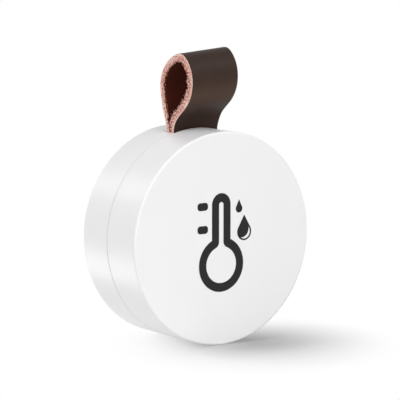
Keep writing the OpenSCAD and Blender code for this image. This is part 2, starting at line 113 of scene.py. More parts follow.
def as_object(mesh: bmesh.types.BMesh, name: str) -> bpy.types.Object:
    """Turns a finished bmesh into a smooth-shaded object at the origin.

    Args:
        mesh: bmesh with its place in its vertices; it is freed here.
        name: name of the piece.

    Returns:
        The object, linked to the scene.
    """
    data = bpy.data.meshes.new(name)
    mesh.to_mesh(data)
    mesh.free()
    data.shade_smooth()
    piece = bpy.data.objects.new(name, data)
    bpy.context.scene.collection.objects.link(piece)
    return piece


@dataclass(frozen=True)
class Finish:
    """A surface finish: what it is, its colour and how it takes the light."""

    name: str
    colour: str
    roughness: float
    metallic: float = 0.0
    ior: float = 1.5
    mirror: float = 0.5

    def material(self) -> bpy.types.Material:
        """Gives the finish's material, made once and shared by every piece that has it.

        Returns:
            The node material.
        """
        made = bpy.data.materials.get(self.name)
        if made:
            return made
        made = bpy.data.materials.new(self.name)
        made.use_nodes = True
        made.diffuse_color = linear(self.colour)
        tree = made.node_tree
        tree.nodes.clear()
        shader = add_node(tree, "ShaderNodeBsdfPrincipled", {
            "Base Color": linear(self.colour), "Roughness": self.roughness, "Metallic": self.metallic,
            "IOR": self.ior, "Specular IOR Level": self.mirror})
        add_node(tree, "ShaderNodeOutputMaterial", {"Surface": shader.outputs["BSDF"]})
        self.detail(tree, shader, add_node(tree, "ShaderNodeTexCoord").outputs["Object"])
        return made

    def detail(self, tree: bpy.types.NodeTree, shader: bpy.types.Node, place: bpy.types.NodeSocket) -> None:
        """Adds what the finish shows close up.

        Args:
            tree: node tree of the material.
            shader: its Principled node.
            place: Object coordinates.
        """


@dataclass(frozen=True)
class MouldedPlastic(Finish):
    """Plastic that took its surface from a spark-eroded mould: a fine even grain and a soft gloss.

    The grain, its relief and the clouds of the flow are in millimetres.
    """

    tint: str = "FFFFFF"
    grain: float = 0.18
    relief: float = 0.004
    flow: float = 9.0
    gloss_spread: float = 0.05
    bump: float = 0.5

    def detail(self, tree: bpy.types.NodeTree, shader: bpy.types.Node, place: bpy.types.NodeSocket) -> None:
        """Adds the mould's grain, and the faint clouds that the melt leaves as it flows."""
        grit = add_node(tree, "ShaderNodeTexNoise", {
            "Vector": place, "Scale": per_metre(self.grain), "Detail": 2.0})
        cloud = add_node(tree, "ShaderNodeTexNoise", {
            "Vector": place, "Scale": per_metre(self.flow), "Detail": 3.0})
        tone = add_node(tree, "ShaderNodeMix", {
            0: cloud.outputs["Fac"], 6: linear(self.colour), 7: linear(self.tint)}, data_type="RGBA")
        gloss = add_node(tree, "ShaderNodeMapRange", {
            "Value": grit.outputs["Fac"], "To Min": self.roughness - self.gloss_spread,
            "To Max": self.roughness + self.gloss_spread})
        bump = add_node(tree, "ShaderNodeBump", {
            "Height": grit.outputs["Fac"], "Strength": self.bump, "Distance": self.relief * MM})
        tree.links.new(tone.outputs[2], shader.inputs["Base Color"])
        tree.links.new(gloss.outputs["Result"], shader.inputs["Roughness"])
        tree.links.new(bump.outputs["Normal"], shader.inputs["Normal"])


@dataclass(frozen=True)
class ShellPlastic(MouldedPlastic):
    """Moulded plastic of two round shells that meet in a fine groove, along which shade is painted into the
    colour.

    All in millimetres: the seam's place behind the body's middle, half the groove's width, the body's radius
    and the height of its axis.
    """

    seam: float = 0.45
    groove: float = 0.13
    radius: float = 20.0
    axis_height: float = 20.0
    # colour of the painted shade in the groove
    painted_groove_shade: str = "D8D8D8"

    def detail(self, tree: bpy.types.NodeTree, shader: bpy.types.Node, place: bpy.types.NodeSocket) -> None:
        """Adds painted shade along the groove to the moulded surface."""
        super().detail(tree, shader, place)
        clean = shader.inputs["Base Color"].links[0].from_socket
        # Painted shade: darkens the colour in the groove between the shells, on the rim only.
        behind = add_node(tree, "ShaderNodeSeparateXYZ", {0: place}).outputs["Y"]
        near = add_node(tree, "ShaderNodeMath", {
            0: behind, 1: self.seam * MM, 2: self.groove * MM}, operation="COMPARE")
        flat = add_node(tree, "ShaderNodeVectorMath", {
            0: place, 1: (1.0, 0.0, 1.0)}, operation="MULTIPLY")
        reach = add_node(tree, "ShaderNodeVectorMath", {
            0: flat.outputs["Vector"], 1: (0.0, 0.0, self.axis_height * MM)}, operation="DISTANCE")
        rim = add_node(tree, "ShaderNodeMath", {
            0: reach.outputs["Value"], 1: (self.radius - self.groove) * MM}, operation="GREATER_THAN")
        share = add_node(tree, "ShaderNodeMath", {
            0: near.outputs[0], 1: rim.outputs[0]}, operation="MULTIPLY")
        tone = add_node(tree, "ShaderNodeMix", {
            0: share.outputs[0], 6: clean, 7: linear(self.painted_groove_shade)}, data_type="RGBA")
        tree.links.new(tone.outputs[2], shader.inputs["Base Color"])


@dataclass(frozen=True)
class PrintedInk(Finish):
    """Pad-printed two-part ink: dead matt, with the faint mottle of the pad."""

    mottle: float = 0.5
    thick_tone: float = 0.86
    gloss_spread: float = 0.06

    def detail(self, tree: bpy.types.NodeTree, shader: bpy.types.Node, place: bpy.types.NodeSocket) -> None:
        """Adds the mottle, as small changes of gloss and depth of colour."""
        pad = add_node(tree, "ShaderNodeTexNoise", {
            "Vector": place, "Scale": per_metre(self.mottle), "Detail": 3.0})
        dark = tuple(c * self.thick_tone for c in linear(self.colour)[:3]) + (1.0,)
        tone = add_node(tree, "ShaderNodeMix", {
            0: pad.outputs["Fac"], 6: dark, 7: linear(self.colour)}, data_type="RGBA")
        gloss = add_node(tree, "ShaderNodeMapRange", {
            "Value": pad.outputs["Fac"], "To Min": self.roughness - self.gloss_spread,
            "To Max": self.roughness + self.gloss_spread})
        tree.links.new(tone.outputs[2], shader.inputs["Base Color"])
        tree.links.new(gloss.outputs["Result"], shader.inputs["Roughness"])


@dataclass(frozen=True)
class WorkedMetal(Finish):
    """Drawn, stamped or plated metal: fine lines along the way it was worked, and a few dull patches."""

    metallic: float = 1.0
    tint: str = "FFFFFF"
    line: float = 0.06
    run: tuple[float, float, float] = (1.0, 1.0, 1.0)
    relief: float = 0.002
    patch: float = 3.0
    polished: float = 0.07
    dulled: float = 0.1
    bump: float = 0.6

    def detail(self, tree: bpy.types.NodeTree, shader: bpy.types.Node, place: bpy.types.NodeSocket) -> None:
        """Adds the lines, stretched along the run, and a broad change of tone."""
        along = add_node(tree, "ShaderNodeMapping", {"Vector": place, "Scale": self.run})
        lines = add_node(tree, "ShaderNodeTexNoise", {
            "Vector": along.outputs["Vector"], "Scale": per_metre(self.line), "Detail": 2.0})
        patch = add_node(tree, "ShaderNodeTexNoise", {
            "Vector": place, "Scale": per_metre(self.patch), "Detail": 2.0})
        tone = add_node(tree, "ShaderNodeMix", {
            0: patch.outputs["Fac"], 6: linear(self.colour), 7: linear(self.tint)}, data_type="RGBA")
        gloss = add_node(tree, "ShaderNodeMapRange", {
            "Value": lines.outputs["Fac"], "To Min": self.roughness - self.polished,
            "To Max": self.roughness + self.dulled})
        bump = add_node(tree, "ShaderNodeBump", {
            "Height": lines.outputs["Fac"], "Strength": self.bump, "Distance": self.relief * MM})
        tree.links.new(tone.outputs[2], shader.inputs["Base Color"])
        tree.links.new(gloss.outputs["Result"], shader.inputs["Roughness"])
        tree.links.new(bump.outputs["Normal"], shader.inputs["Normal"])


@dataclass(frozen=True)
class GrainLeather(Finish):
    """Full-grain cowhide, dyed and waxed: small pebbles with soft creases, and a satin wax gloss."""

    tint: str = "FFFFFF"
    # colour of the lighter band of painted light on the grain
    painted_band_tone: str = "FFFFFF"
    pebble: float = 0.45
    relief: float = 0.03
    cloud: float = 3.2
    waxed: float = 0.06
    dry: float = 0.08
    bump: float = 0.35

    def detail(self, tree: bpy.types.NodeTree, shader: bpy.types.Node, place: bpy.types.NodeSocket) -> None:
        """Adds the pebbles, a lighter band of painted light where the strap marks it, and the dry spots in the
        wax.
        """
        painted_band = add_node(tree, "ShaderNodeAttribute", attribute_name="painted_band").outputs["Fac"]
        pebble = add_node(tree, "ShaderNodeTexVoronoi", {
            "Vector": place, "Scale": per_metre(self.pebble), "Randomness": 1.0}, feature="SMOOTH_F1")
        pull = add_node(tree, "ShaderNodeTexNoise", {
            "Vector": place, "Scale": per_metre(self.cloud), "Detail": 4.0, "Roughness": 0.55})
        tone = add_node(tree, "ShaderNodeMix", {
            0: pull.outputs["Fac"], 6: linear(self.colour), 7: linear(self.tint)}, data_type="RGBA")
        # Painted light: mixes in the lighter band where the strap's attribute marks it.
        painted_band_mix = add_node(tree, "ShaderNodeMix", {
            0: painted_band, 6: tone.outputs[2], 7: linear(self.painted_band_tone)}, data_type="RGBA")
        gloss = add_node(tree, "ShaderNodeMapRange", {
            "Value": pull.outputs["Fac"], "To Min": self.roughness - self.waxed,
            "To Max": self.roughness + self.dry})
        bump = add_node(tree, "ShaderNodeBump", {
            "Height": pebble.outputs["Distance"], "Strength": self.bump, "Distance": self.relief * MM},
            invert=True)
        tree.links.new(painted_band_mix.outputs[2], shader.inputs["Base Color"])
        tree.links.new(gloss.outputs["Result"], shader.inputs["Roughness"])
        tree.links.new(bump.outputs["Normal"], shader.inputs["Normal"])


@dataclass(frozen=True)
class RawLeather(Finish):
    """Leather as the knife leaves it: undyed fibre bundles, matt, pale by the grain and redder by the flesh,
    with a painted highlight on the raised tips of the bundles and painted shade in the pits between them.

    The bundles are drawn about three times as coarse as real ones, so that they show. The pairs are the
    levels of the bundles' noise, or of the depth below the grain, between which each change of colour runs.
    """

    flesh: str = "A0443A"
    # colour of the painted shade in the pits
    painted_pit_shade: str = "8A3A34"
    # colour of the painted highlight on the raised tips
    painted_tip_highlight: str = "FFFFFF"
    bundle: float = 0.34
    patch: float = 2.2
    relief: float = 0.14
    ragged_gain: float = -0.9
    ragged_level: float = 0.72
    patch_gain: float = 2.4
    turns_red: tuple[float, float] = (0.85, 2.05)
    closed_grain: float = 0.14
    pitted: tuple[float, float] = (0.48, 0.41)
    tipped: tuple[float, float] = (0.52, 0.60)
    bump: float = 0.8

    def detail(self, tree: bpy.types.NodeTree, shader: bpy.types.Node, place: bpy.types.NodeSocket) -> None:
        """Adds the change of colour through the thickness, the bundles, a painted highlight on their tips and
        painted shade in the pits.
        """
        ply = add_node(tree, "ShaderNodeAttribute", attribute_name="ply").outputs["Fac"]
        bundles = add_node(tree, "ShaderNodeTexNoise", {
            "Vector": place, "Scale": per_metre(self.bundle), "Detail": 4.0, "Roughness": 0.65})
        ragged = add_node(tree, "ShaderNodeMath", {
            0: bundles.outputs["Fac"], 1: self.ragged_gain, 2: self.ragged_level}, operation="MULTIPLY_ADD")
        blotch = add_node(tree, "ShaderNodeTexNoise", {
            "Vector": place, "Scale": per_metre(self.patch), "Detail": 1.0})
        level = add_node(tree, "ShaderNodeMath", {
            0: blotch.outputs["Fac"], 1: self.patch_gain, 2: ragged.outputs[0]}, operation="MULTIPLY_ADD")
        depth = add_node(tree, "ShaderNodeMath", {0: level.outputs[0], 1: ply}, operation="SUBTRACT")
        into = add_node(tree, "ShaderNodeMapRange", {
            "Value": depth.outputs[0], "From Min": self.turns_red[0], "From Max": self.turns_red[1]})
        tone = add_node(tree, "ShaderNodeMix", {
            0: into.outputs["Result"], 6: linear(self.colour), 7: linear(self.flesh)}, data_type="RGBA")
        edge = add_node(tree, "ShaderNodeMath", {0: ply, 1: self.closed_grain}, operation="MULTIPLY")
        spare = add_node(tree, "ShaderNodeMath", {
            0: bundles.outputs["Fac"], 1: edge.outputs[0]}, operation="ADD")
        # Painted shade: darker where the bundles lie lowest.
        hollow = add_node(tree, "ShaderNodeMapRange", {
            "Value": spare.outputs[0], "From Min": self.pitted[0], "From Max": self.pitted[1]})
        # Painted highlight: paler where the bundles stand highest.
        tips = add_node(tree, "ShaderNodeMapRange", {
            "Value": bundles.outputs["Fac"], "From Min": self.tipped[0], "From Max": self.tipped[1]})
        pale = add_node(tree, "ShaderNodeMix", {
            0: tips.outputs["Result"], 6: tone.outputs[2], 7: linear(self.painted_tip_highlight)}, data_type="RGBA")
        pits = add_node(tree, "ShaderNodeMix", {
            0: hollow.outputs["Result"], 6: pale.outputs[2], 7: linear(self.painted_pit_shade)}, data_type="RGBA")
        bump = add_node(tree, "ShaderNodeBump", {
            "Height": bundles.outputs["Fac"], "Strength": self.bump, "Distance": self.relief * MM})
        tree.links.new(pits.outputs[2], shader.inputs["Base Color"])
        tree.links.new(bump.outputs["Normal"], shader.inputs["Normal"])


@dataclass(frozen=True)
class NappedFibre(Finish):
    """The loose flesh side of leather: a matt nap that soaks up the light."""

    tint: str = "6A2A1C"
    nap: float = 0.22
    relief: float = 0.08
    bump: float = 0.9

    def detail(self, tree: bpy.types.NodeTree, shader: bpy.types.Node, place: bpy.types.NodeSocket) -> None:
        """Adds the nap and its uneven dye."""
        nap = add_node(tree, "ShaderNodeTexNoise", {
            "Vector": place, "Scale": per_metre(self.nap), "Detail": 5.0, "Roughness": 0.7})
        tone = add_node(tree, "ShaderNodeMix", {
            0: nap.outputs["Fac"], 6: linear(self.colour), 7: linear(self.tint)}, data_type="RGBA")
        bump = add_node(tree, "ShaderNodeBump", {
            "Height": nap.outputs["Fac"], "Strength": self.bump, "Distance": self.relief * MM})
        tree.links.new(tone.outputs[2], shader.inputs["Base Color"])
        tree.links.new(bump.outputs["Normal"], shader.inputs["Normal"])


@dataclass(frozen=True)
class WovenLaminate(Finish):
    """Glass-cloth laminate under solder mask: the cloth's weave shows through the smooth green coat.

    The weave is drawn coarser than the real half millimetre, so that it shows.
    """

    tint: str = "1F6A45"
    thread: float = 1.2
    wobble: float = 0.6
    relief: float = 0.004
    bump: float = 0.4

    def detail(self, tree: bpy.types.NodeTree, shader: bpy.types.Node, place: bpy.types.NodeSocket) -> None:
        """Adds the two directions of the glass cloth."""
        rate = WAVE_LENGTH * per_metre(self.thread)
        warp, weft = (add_node(tree, "ShaderNodeTexWave", {
            "Vector": place, "Scale": rate, "Distortion": self.wobble, "Detail": 1.0}, bands_direction=across)
            for across in "XZ")
        cloth = add_node(tree, "ShaderNodeMath", {
            0: warp.outputs["Fac"], 1: weft.outputs["Fac"]}, operation="MULTIPLY")
        tone = add_node(tree, "ShaderNodeMix", {
            0: cloth.outputs[0], 6: linear(self.colour), 7: linear(self.tint)}, data_type="RGBA")
        bump = add_node(tree, "ShaderNodeBump", {
            "Height": cloth.outputs[0], "Strength": self.bump, "Distance": self.relief * MM})
        tree.links.new(tone.outputs[2], shader.inputs["Base Color"])
        tree.links.new(bump.outputs["Normal"], shader.inputs["Normal"])


class Finishes:
    """Every finish on the sensor."""

    # Moulded ABS: an even, neutral white with a soft sheen that spreads the lamps into broad bands, and a
    # thin grey line of painted shade where the shells meet.
    HOUSING = ShellPlastic("abs_moulded_white", "F2F2F3", 0.33, ior=1.53, tint="F5F5F6")
    # Pad-printed ink: reads as one flat charcoal, with no gloss of its own.
    INK = PrintedInk("ink_pad_printed_charcoal", "2C2C2C", 0.6, ior=1.45, mirror=0.12)
    # Waxed full-grain cowhide: nearly black where it turns away, a grey satin line where it faces the lamp, and
    # a lighter band of painted light across its sides.
    GRAIN = GrainLeather("cowhide_full_grain_waxed", "2E201B", 0.42, ior=1.45, mirror=0.14, tint="382821",
                         painted_band_tone="4A382E")
    # Cut edge of the same hide: pale salmon fibre, redder and pitted towards the flesh side, with painted shade
    # in the pits and a painted highlight on the raised tips.
    EDGE = RawLeather("cowhide_cut_edge", "EBC3B2", 0.85, ior=1.45, mirror=0.2, flesh="D08A7B", painted_pit_shade="A0544B",
                      painted_tip_highlight="F4DDD2")
    # Flesh side: a dark red-brown nap.
    FLESH = NappedFibre("cowhide_flesh_side", "36160E", 0.92, ior=1.45, mirror=0.1, tint="683020")
    # Loose fibre along the cut: the colour of the cut edge, catching light at its tips.
    FIBRE = NappedFibre("cowhide_loose_fibre", "D9A192", 0.9, ior=1.45, mirror=0.2, tint="F2D4C8", nap=0.4)
    # Ground stainless pin and plated screws: bright, with fine turning lines.
    STEEL = WorkedMetal("stainless_steel_ground", "C6C8CA", 0.32, tint="D2D3D4", run=(0.15, 1.0, 1.0))
    # Solder mask on glass cloth: deep green, smooth, the weave just visible.
    BOARD = WovenLaminate("glass_laminate_solder_mask", "0E4A30", 0.38, ior=1.5, tint="14573A")
    # Copper under the mask: the same coat, a paler green over the metal.
    TRACK = WovenLaminate("copper_under_solder_mask", "2B7A4C", 0.34, ior=1.5, tint="34875A")
    # Gold over nickel on bare copper: a warm even shine.
    GOLD = WorkedMetal("gold_immersion_plated", "E7C47A", 0.3, tint="EFD08C", line=0.05)
    # Transfer-moulded epoxy: charcoal with a fine sandy grain.
    RESIN = MouldedPlastic("epoxy_transfer_moulded", "27282A", 0.58, ior=1.55, tint="2E2F31",
                           grain=0.08, flow=1.5)
    # Seam-welded crystal lid: rolled nickel silver, fine lines along its length.
    LID = WorkedMetal("nickel_silver_rolled_lid", "CDCAC2", 0.36, tint="D6D3CB", run=(0.2, 1.0, 1.0))
    # Fired dielectric ceramic: pale, chalky, faintly blue.
    ANTENNA = MouldedPlastic("ceramic_fired_pale", "DFE4E5", 0.6, ior=1.6, tint="D6DCDE",
                             grain=0.12, flow=1.2)
    # Reflowed tin: bright, slightly frosted.
    SOLDER = WorkedMetal("tin_reflowed", "D3D4D5", 0.34, tint="C6C8CA", line=0.12)
    # Fired capacitor body: tan, satin.
    CAPACITOR = MouldedPlastic("ceramic_fired_tan", "AE9478", 0.45, ior=1.6, tint="A58A6E",
                               grain=0.1, flow=1.0)
    # Expanded PTFE film: chalk white, quite matt.
    MEMBRANE = NappedFibre("ptfe_expanded_film", "F0F0EE", 0.9, ior=1.35, tint="F6F6F4", nap=0.1, relief=0.01)
    # Cast resin over the phosphor of a white lamp: milky yellow, glossy.
    LAMP = MouldedPlastic("resin_cast_phosphor", "EFE9D2", 0.25, ior=1.5, tint="EBDFA8", grain=0.3, flow=0.8)
    # Stamped tin-plated can of the switch.
    CAN = WorkedMetal("tinplate_stamped", "CBCBCB", 0.36, tint="D3D3D2", run=(1.0, 1.0, 0.2))
    # Moulded acetal plunger: black, slightly waxy.
    BUTTON = MouldedPlastic("acetal_moulded_black", "232326", 0.45, ior=1.48, tint="29292C",
                            grain=0.12, flow=1.5)
    # Glass-filled nylon holder: black, dull, a coarse grain from the glass.
    HOLDER = MouldedPlastic("nylon_glass_filled_black", "252526", 0.55, ior=1.53, tint="2E2E2F", grain=0.3,
                            relief=0.012, flow=4.0)
    # Gold-flashed phosphor bronze springs: warm, rolled lines along the strip.
    CONTACT = WorkedMetal("phosphor_bronze_gold_flashed", "EBD39C", 0.3, tint="E2C588", run=(1.0, 1.0, 0.2))
    # Deep-drawn nickel-plated steel of the cell: cool satin, with drawing lines round it.
    CELL = WorkedMetal("nickel_plated_steel_drawn", "D3D4D5", 0.3, tint="C9CACC", run=(1.0, 0.12, 1.0))
    # Nylon sealing ring of the cell.
    GASKET = MouldedPlastic("nylon_moulded_dark", "303134", 0.6, ior=1.53, tint="37383B",
                            grain=0.15, flow=2.0)


DRESS = {
    "front_case": Finishes.HOUSING, "rear_cover": Finishes.HOUSING, "face_print": Finishes.INK,
    "strap_pin": Finishes.STEEL, "board_screws": Finishes.STEEL, "circuit_board": Finishes.BOARD,
    "radio_chip": Finishes.RESIN, "climate_sensor": Finishes.RESIN, "resistors": Finishes.RESIN,
    "radio_crystal": Finishes.LID, "clock_crystal": Finishes.LID, "chip_antenna": Finishes.ANTENNA,
    "antenna_caps": Finishes.SOLDER, "capacitor_caps": Finishes.SOLDER, "capacitors": Finishes.CAPACITOR,
    "vent_membrane": Finishes.MEMBRANE, "status_led": Finishes.LAMP, "pairing_switch": Finishes.CAN,
    "pairing_button": Finishes.BUTTON, "battery_holder": Finishes.HOLDER,
    "positive_contact": Finishes.CONTACT, "negative_contact": Finishes.CONTACT,
    "coin_cell": Finishes.CELL, "coin_cell_cap": Finishes.CELL, "coin_cell_gasket": Finishes.GASKET,
}


class Face(Enum):
    """The three surfaces of a strip of leather, in the order of the strap's material slots."""

    GRAIN = 0
    EDGE = 1
    FLESH = 2


@dataclass
class LeatherStrap:
    """One strip of cowhide, folded to a loop, with both tails pinned inside the case.

    The first seven lengths are in metres. Those of the wear, of the band of painted light on the grain and of
    the fibres are in millimetres, and the heights among them are above the rim.
    """

    middle: float
    rim_top: float
    tail_end: float
    width: float
    thickness: float = 1.4 * MM
    step: float = 0.25 * MM
    edge_round: float = 0.14 * MM
    plies: int = 6
    cross_cuts: int = 19
    curve_points: int = 120
    crooked: float = 0.084
    spread: float = 0.03
    free_over: float = 2.5
    free_at_rim: float = 0.2
    pressed: float = 0.22
    pressed_over: float = 4.5
    # height and spread of the band of painted light on the grain
    painted_band_rise: float = 6.2
    painted_band_over: float = 2.6
    coarse: float = 0.7
    fine: float = 0.3
    edge_lift: tuple[float, float] = (0.12, 0.10)  # coarse, fine
    nap_lift: tuple[float, float] = (0.05, 0.03)  # coarse, fine
    fringe: tuple[float, float, float] = (0.12, 0.24, 0.16)  # even, coarse, fine
    foot_fill: float = 0.4
    foot_rise: float = 0.8
    foot_over: float = 1.4
    fray_seed: int = 11
    fray_count: int = 760
    fray_from: float = 0.3
    fibre_length: tuple[float, float] = (0.2, 0.5)
    fibre_radius: tuple[float, float] = (0.045, 0.095)
    fibre_tip: float = 0.012
    fibre_sunk: float = 0.06
    fibre_inset: float = 0.12
    long_share: float = 0.3
    long_gain: float = 2.0
    long_below: float = 9.0

    def placed(self, reach: float, rise: float) -> Vector:
        """Gives the point this many millimetres in front of the strap's middle and above the rim."""
        return Vector((0.0, self.middle - reach * MM, self.rim_top + rise * MM))

    def centreline(self) -> list[Vector]:
        """Follows the strip from the front tail over the loop to the rear tail.

        Returns:
            Points along the middle of the leather, evenly spaced.
        """
        knots = [  # handle before, knot, handle after
            ((0.71, -2.0), (0.71, -0.4), (1.29, 3.71)),
            ((6.45, 4.25), (6.45, 9.04), (6.45, 11.7)),
            ((4.3, 13.53), (3.36, 13.53), (0.8, 13.53)),
            ((-2.54, 11.05), (-2.54, 7.94), (-2.54, 6.37)),
            ((-1.26, 1.2), (-0.71, -0.4), (-0.71, -2.0)),
        ]
        tail = (self.tail_end - self.rim_top) / MM
        route = [self.placed(knots[0][1][0], tail)]
        for (_, start, leave), (arrive, end, _) in zip(knots, knots[1:]):
            points = [self.placed(*p) for p in (start, leave, arrive, end)]
            route += [p.to_3d() for p in geometry.interpolate_bezier(*points, self.curve_points)]
        route.append(self.placed(knots[-1][1][0], tail))
        even, left = [route[0]], self.step
        for a, b in zip(route, route[1:]):
            span = (b - a).length
            while span > 0 and left <= span:
                a = a.lerp(b, left / span)
                span -= left
                left = self.step
                even.append(a.copy())
            left -= span
        return even

    def settled(self, point: Vector) -> Vector:
        """Moves a point of the straight strap to where the finished one has it.

        The two layers are pressed together where they leave the rim, and the loop sits a little crooked: the
        further to the right, the higher and wider it is.

        Args:
            point: a point of the strap as it was cut and folded.

        Returns:
            The point's place on the finished strap.
        """
        rise = (point.z - self.rim_top) / MM
        near = max(1.0 - abs(rise) / self.pressed_over, 0.0)
        free = min(max(rise / self.free_over + self.free_at_rim, 0.0), 1.0)
        right = max(point.x + self.width / 2, 0.0) * free * free * (3 - 2 * free)
        inward = (self.middle - point.y) * self.pressed * near * near * (3 - 2 * near)
        return point + Vector((right * self.spread, inward, right * self.crooked))

    def outward(self, line: list[Vector], i: int) -> Vector:
        """Gives the direction from the flesh side to the grain side at one point of the centreline."""
        along = (line[min(i + 1, len(line) - 1)] - line[max(i - 1, 0)]).normalized()
        return Vector((0.0, -along.z, along.y))

    def strip(self) -> bpy.types.Object:
        """Builds the leather: a ribbon of its thickness along the centreline, drawn out to the width.

        Returns:
            The strap, with grain, cut edge and flesh side as three materials.
        """
        line = self.centreline()
        last = len(line) - 1
        mesh = bmesh.new()
        bmesh.ops.create_grid(mesh, x_segments=last, y_segments=self.plies, size=0.5)
        ply, painted_band = mesh.verts.layers.float.new("ply"), mesh.verts.layers.float.new("painted_band")
        for vert in mesh.verts:
            i = round((vert.co.x + 0.5) * last)
            vert[ply] = vert.co.y
            # Painted light: weight of a lighter band at a set height above the rim.
            above = (line[i].z - self.rim_top) / MM
            vert[painted_band] = math.exp(-((above - self.painted_band_rise) / self.painted_band_over) ** 2)
            vert.co = line[i] + self.outward(line, i) * (vert.co.y * self.thickness)
            vert.co.x = -self.width / 2
        drawn = bmesh.ops.extrude_face_region(mesh, geom=mesh.faces[:] + mesh.edges[:], use_keep_orig=True)
        bmesh.ops.translate(mesh, vec=(self.width, 0, 0),
                            verts=[g for g in drawn["geom"] if isinstance(g, bmesh.types.BMVert)])
        bmesh.ops.recalc_face_normals(mesh, faces=mesh.faces[:])
        crossing = [e for e in mesh.edges if abs(e.verts[0].co.x - e.verts[1].co.x) > self.width / 2]
        bmesh.ops.subdivide_edges(mesh, edges=crossing, cuts=self.cross_cuts, use_grid_fill=True)
        side = self.width / 2 - HAIR
        for face in mesh.faces:
            depth = [v[ply] for v in face.verts]
            if all(abs(v.co.x) > side for v in face.verts) or max(depth) - min(depth) > PLY_HAIR:
                face.material_index = Face.EDGE.value
            else:
                face.material_index = Face.GRAIN.value if depth[0] > 0 else Face.FLESH.value
        rims = [e for e in mesh.edges
                if all(abs(v.co.x) > side and v[ply] > 0.5 - PLY_HAIR for v in e.verts)]
        bmesh.ops.bevel(mesh, geom=rims, offset=self.edge_round, affect="EDGES", segments=2, profile=0.5,
                        material=-1)
        self.roughen(mesh, ply, side)
        for vert in mesh.verts:
            vert.co = self.settled(vert.co)
        mesh.normal_update()
        strap = as_object(mesh, "leather_strap")
        for finish in (Finishes.GRAIN, Finishes.EDGE, Finishes.FLESH):
            strap.data.materials.append(finish.material())
        return strap

    def roughen(self, mesh: bmesh.types.BMesh, ply: bmesh.types.BMLayerItem, side: float) -> None:
        """Lifts the cut fibres of the two edges and the nap of the flesh side.

        Args:
            mesh: the closed strip.
            ply: layer with each vertex's place through the thickness.
            side: distance of the cut edges from the middle.
        """
        mesh.normal_update()
        moved = []
        apart = Vector((7.0, 3.0, 1.0))  # takes the fine noise from another place than the coarse
        for vert in mesh.verts:
            loose = 0.5 - vert[ply]
            coarse = noise.noise(vert.co * per_metre(self.coarse))
            fine = noise.noise(vert.co * per_metre(self.fine) + apart)
            if abs(vert.co.x) > side:
                lift = coarse * self.edge_lift[0] + fine * self.edge_lift[1]
                push = Vector((math.copysign(1.0, vert.co.x), 0, 0)) * lift * loose
                if loose > 1.0 - PLY_HAIR:
                    above = (vert.co.z - self.rim_top) / MM
                    foot = max(1.0 - abs(above - self.foot_rise) / self.foot_over, 0.0)
                    even, large, small = self.fringe
                    push += vert.normal * (even + coarse * large + fine * small + self.foot_fill * foot)
                moved.append((vert, push * MM))
            elif loose > 1.0 - PLY_HAIR:
                lift = coarse * self.nap_lift[0] + fine * self.nap_lift[1]
                moved.append((vert, vert.normal * lift * MM))
        for vert, push in moved:
            vert.co += push

    def fray(self) -> bpy.types.Object:
        """Builds the loose fibres that stand out along the flesh corner of both cut edges.

        Returns:
            The fibres as one piece.
        """
        chance = random.Random(self.fray_seed)
        line = self.centreline()
        loop = [i for i, p in enumerate(line) if p.z > self.rim_top + self.fray_from * MM]
        mesh = bmesh.new()
        for _ in range(self.fray_count):
            i = chance.choice(loop)
            out = self.outward(line, i)
            along = Vector((0.0, out.z, -out.y))
            hand = chance.choice((-1.0, 1.0))
            low = line[i].y < self.middle and line[i].z < self.rim_top + self.long_below * MM
            length = chance.uniform(*self.fibre_length)
            length *= (self.long_gain if low and chance.random() < self.long_share else 1.0) * MM
            lean = (-out * chance.uniform(0.3, 1.0) + along * chance.uniform(-0.8, 0.8)
                    + Vector((hand * chance.uniform(-0.1, 0.5), 0, 0))).normalized()
            root = line[i] - out * self.thickness * chance.uniform(0.25, 0.52)
            root.x = hand * (self.width / 2 - chance.uniform(0.0, self.fibre_inset) * MM)
            turn = lean.to_track_quat("Z", "Y").to_matrix().to_4x4()
            middle = Matrix.Translation(self.settled(root) + lean * (length / 2 - self.fibre_sunk * MM))
            bmesh.ops.create_cone(mesh, cap_ends=True, segments=4,
                                  radius1=chance.uniform(*self.fibre_radius) * MM,
                                  radius2=self.fibre_tip * MM, depth=length, matrix=middle @ turn)
        fibres = as_object(mesh, "strap_fibres")
        fibres.data.materials.append(Finishes.FIBRE.material())
        return fibres

    def build(self) -> list[bpy.types.Object]:
        """Builds the strap and its fibres, hides the imported strap solids, and fixes the pieces' placing into
        their meshes.

        Returns:
            The finished pieces.
        """
        strap, fibres = self.strip(), self.fray()
        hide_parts("strap_loop", "strap_tails")
        for piece in (strap, fibres):
            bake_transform(piece)
        return [strap, fibres]


